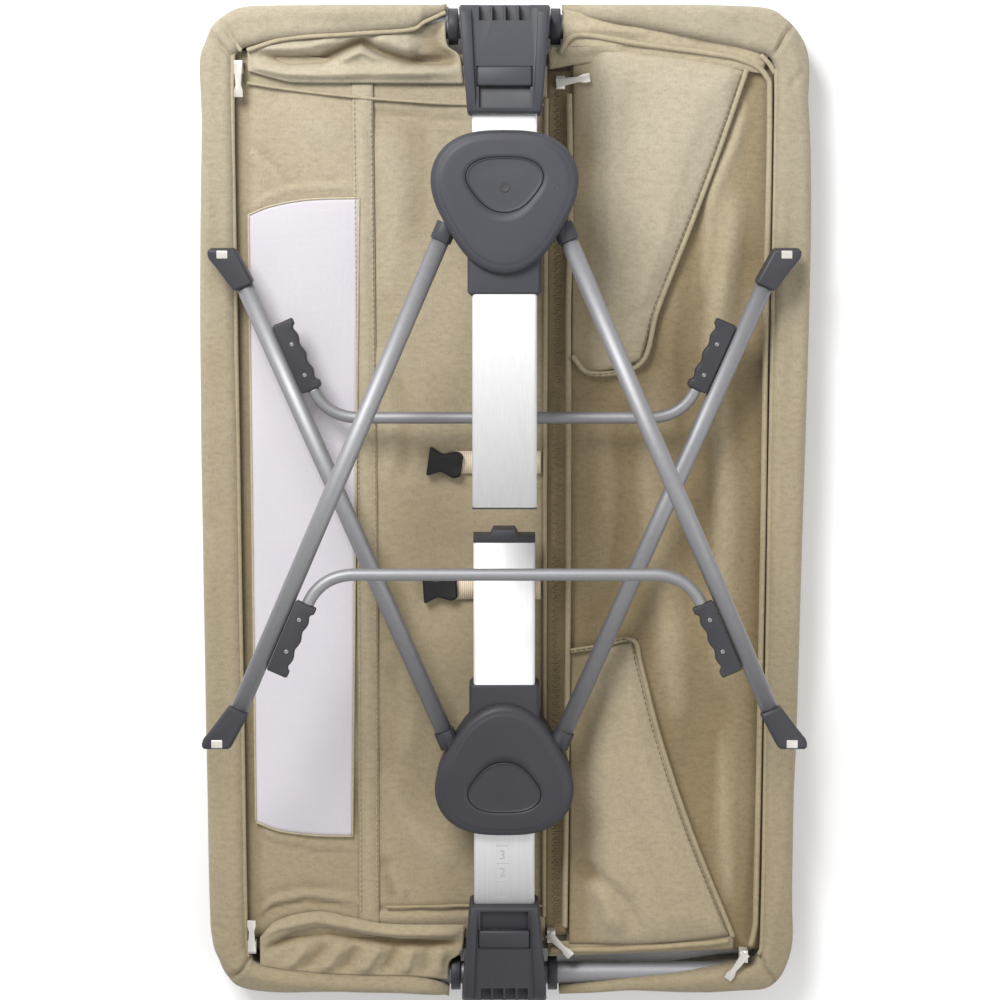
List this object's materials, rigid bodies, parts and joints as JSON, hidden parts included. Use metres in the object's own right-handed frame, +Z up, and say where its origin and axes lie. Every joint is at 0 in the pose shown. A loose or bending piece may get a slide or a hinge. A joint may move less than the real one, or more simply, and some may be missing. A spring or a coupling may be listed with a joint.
{
  "type": "bedside travel crib",
  "caption": "Folded bedside travel crib lying on its rim, with two hinged leg stands that unfold, slide on columns for height, and lock with push buttons.",
  "frame": {"origin": "on the floor under the middle of the upturned rim", "axes": "+Y along the crib to its head end, +X to the plain side wall, +Z up out of the folded base, towards the leg stands"},
  "size_m": [0.564, 0.94, 0.2029],
  "materials": {
    "crib_fabric": "woven melange polyester, matt",
    "zip_tape": "woven tape with coil zip",
    "mesh": "fine knitted ventilation mesh",
    "pad": "quilted mattress cover",
    "board": "plain hardboard",
    "frame_plastic": "fine spark-textured moulding",
    "buckle_plastic": "moulded acetal",
    "zip_metal": "cream enamelled die casting",
    "column_metal": "satin anodised extrusion",
    "tube_metal": "silver powder coat"
  },
  "bodies": {
    "crib": {"base_board": "board", "base_panel": "crib_fabric", "buckle_foot": "buckle_plastic", "buckle_head": "buckle_plastic", "end_flap_foot": "crib_fabric", "end_flap_head": "crib_fabric", "end_panel_foot": "crib_fabric", "end_panel_head": "crib_fabric", "end_tube_foot": "tube_metal", "end_tube_head": "tube_metal", "hinge_collar_foot_left": "frame_plastic", "hinge_collar_foot_right": "frame_plastic", "hinge_collar_head_left": "frame_plastic", "hinge_collar_head_right": "frame_plastic", "mattress_pad": "pad", "mesh_window": "mesh", "rim_cover_foot_left": "crib_fabric", "rim_cover_foot_right": "crib_fabric", "rim_cover_head_left": "crib_fabric", "rim_cover_head_right": "crib_fabric", "rim_cover_left": "crib_fabric", "rim_cover_right": "crib_fabric", "side_tube_left": "tube_metal", "side_tube_right": "tube_metal", "side_wall_left": "crib_fabric", "side_wall_right": "crib_fabric", "zip_tape_centre": "zip_tape"},
    "head_stand": {"head_bracket": "frame_plastic", "head_column": "column_metal", "head_column_plug": "frame_plastic"},
    "head_fold_button": {"head_fold_button": "frame_plastic"},
    "head_hub": {"head_clamp_left": "frame_plastic", "head_clamp_right": "frame_plastic", "head_crossbar": "tube_metal", "head_hub_cover": "frame_plastic", "head_hub_shell": "frame_plastic", "head_leg_left": "tube_metal", "head_leg_right": "tube_metal", "head_shoe_left": "frame_plastic", "head_shoe_right": "frame_plastic"},
    "head_height_button": {"head_height_button": "frame_plastic"},
    "foot_stand": {"foot_bracket": "frame_plastic", "foot_column": "column_metal", "foot_column_plug": "frame_plastic"},
    "foot_fold_button": {"foot_fold_button": "frame_plastic"},
    "foot_hub": {"foot_clamp_left": "frame_plastic", "foot_clamp_right": "frame_plastic", "foot_crossbar": "tube_metal", "foot_hub_cover": "frame_plastic", "foot_hub_shell": "frame_plastic", "foot_leg_left": "tube_metal", "foot_leg_right": "tube_metal", "foot_shoe_left": "frame_plastic", "foot_shoe_right": "frame_plastic"},
    "foot_height_button": {"foot_height_button": "frame_plastic"},
    "zip_left_head": {"zip_slider_left_head": "zip_metal"},
    "zip_left_foot": {"zip_slider_left_foot": "zip_metal"},
    "zip_centre_head": {"zip_slider_centre_head": "zip_metal"},
    "zip_centre_foot": {"zip_slider_centre_foot": "zip_metal"},
    "zip_right_foot": {"zip_slider_right_foot": "zip_metal"}
  },
  "joints": [
    {"name": "head_stand_fold", "type": "hinge", "parent": "crib", "child": "head_stand", "pos_m": [0, 0.45, 0.03], "axis": [-1, 0, 0], "range_deg": [0, 87]},
    {"name": "head_height_slide", "type": "slide", "parent": "head_stand", "child": "head_hub", "axis": [0, -0.9945, 0.1045], "range_m": [0, 0.15]},
    {"name": "head_fold_button_press", "type": "slide", "parent": "head_stand", "child": "head_fold_button", "axis": [0, -0.1045, -0.9945], "range_m": [0, 0.0033], "stiffness_N_per_m": 600, "springref_m": -0.001},
    {"name": "head_height_button_press", "type": "slide", "parent": "head_hub", "child": "head_height_button", "axis": [0, -0.1045, -0.9945], "range_m": [0, 0.0033], "stiffness_N_per_m": 600, "springref_m": -0.001},
    {"name": "foot_stand_fold", "type": "hinge", "parent": "crib", "child": "foot_stand", "pos_m": [0, -0.45, 0.03], "axis": [1, 0, 0], "range_deg": [0, 87]},
    {"name": "foot_height_slide", "type": "slide", "parent": "foot_stand", "child": "foot_hub", "axis": [0, 1, 0], "range_m": [-0.054, 0.096]},
    {"name": "foot_fold_button_press", "type": "slide", "parent": "foot_stand", "child": "foot_fold_button", "axis": [0, 0, -1], "range_m": [0, 0.0033], "stiffness_N_per_m": 600, "springref_m": -0.001},
    {"name": "foot_height_button_press", "type": "slide", "parent": "foot_hub", "child": "foot_height_button", "axis": [0, 0, -1], "range_m": [0, 0.0033], "stiffness_N_per_m": 600, "springref_m": -0.001},
    {"name": "zip_left_head_slide", "type": "slide", "parent": "crib", "child": "zip_left_head", "axis": [0, -1, 0], "range_m": [0, 0.38]},
    {"name": "zip_left_foot_slide", "type": "slide", "parent": "crib", "child": "zip_left_foot", "axis": [0, 1, 0], "range_m": [0, 0.38]},
    {"name": "zip_centre_head_slide", "type": "slide", "parent": "crib", "child": "zip_centre_head", "axis": [0, -1, 0], "range_m": [0, 0.36]},
    {"name": "zip_centre_foot_slide", "type": "slide", "parent": "crib", "child": "zip_centre_foot", "axis": [0, 1, 0], "range_m": [0, 0.36]},
    {"name": "zip_right_foot_slide", "type": "slide", "parent": "crib", "child": "zip_right_foot", "axis": [0, 1, 0], "range_m": [0, 0.8]}
  ],
  "couplings": [
    {"joint": "foot_stand_fold", "follows": "head_stand_fold", "ratio": 1}
  ]
}
